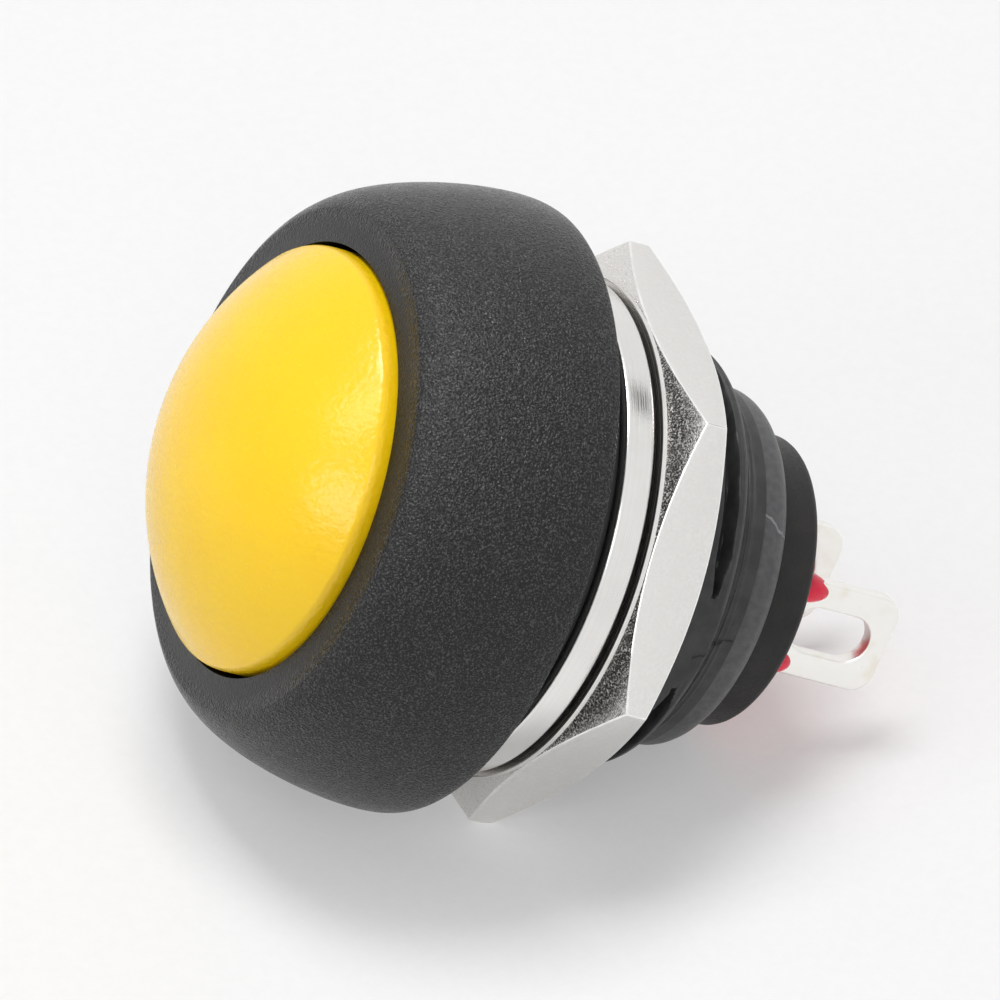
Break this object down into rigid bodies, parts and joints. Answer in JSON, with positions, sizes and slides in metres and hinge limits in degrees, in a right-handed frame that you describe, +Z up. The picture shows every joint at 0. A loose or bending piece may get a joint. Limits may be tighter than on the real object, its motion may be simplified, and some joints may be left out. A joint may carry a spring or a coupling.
{
  "type": "pushbutton switch",
  "caption": "Panel-mount momentary pushbutton with a domed cap, a round bezel, a threaded shank with ring and hexagon nut, and solder lugs in resin.",
  "frame": {"origin": "on the switch axis, in the plane of the bezel's underside, which seats on the panel", "axes": "+Y along the shank towards the solder lugs, so the button is pushed along +Y; +X across the two lugs; +Z up"},
  "size_m": [0.017, 0.0205, 0.017],
  "materials": {
    "housing_plastic": "fine spark-eroded black",
    "cap_plastic": "satin yellow",
    "plunger_plastic": "natural white acetal",
    "rubber": "black rubber",
    "spring_steel": "drawn spring steel",
    "contact_brass": "stamped strip",
    "silver": "silver contact face",
    "tinned_metal": "tinned brass strip",
    "base_plastic": "matt black moulding",
    "potting_resin": "glossy red resin",
    "ring_nickel": "bright turned nickel plate",
    "nut_nickel": "satin nickel plate, turned chamfers"
  },
  "bodies": {
    "switch_body": {"housing": "housing_plastic", "return_spring": "spring_steel", "terminal_left": "tinned_metal", "terminal_right": "tinned_metal", "fixed_contact_left": "silver", "fixed_contact_right": "silver", "terminal_base": "base_plastic", "potting": "potting_resin", "panel_gasket": "rubber"},
    "button": {"button_cap": "cap_plastic", "plunger": "plunger_plastic", "plunger_seal": "rubber", "contact_spring": "spring_steel", "contact_bridge": "contact_brass", "bridge_contact_left": "silver", "bridge_contact_right": "silver", "bridge_clip": "spring_steel"},
    "ring": {"spacer_ring": "ring_nickel"},
    "nut": {"hex_nut": "nut_nickel"}
  },
  "joints": [
    {"name": "button_press", "type": "slide", "parent": "switch_body", "child": "button", "axis": [0, 1, 0], "range_m": [0, 0.0015], "stiffness_N_per_m": 800, "springref_m": -0.0012, "deforming": ["return_spring"]},
    {"name": "ring_slide", "type": "slide", "parent": "switch_body", "child": "ring", "axis": [0, 1, 0], "range_m": [0, 0.00225]},
    {"name": "nut_turn", "type": "hinge", "parent": "ring", "child": "nut", "pos_m": [0, 0.00328, 0], "axis": [0, 1, 0], "range_deg": [0, 1080]}
  ],
  "couplings": [
    {"joint": "nut_turn", "follows": "ring_slide", "rad_per_m": 8377.6}
  ]
}
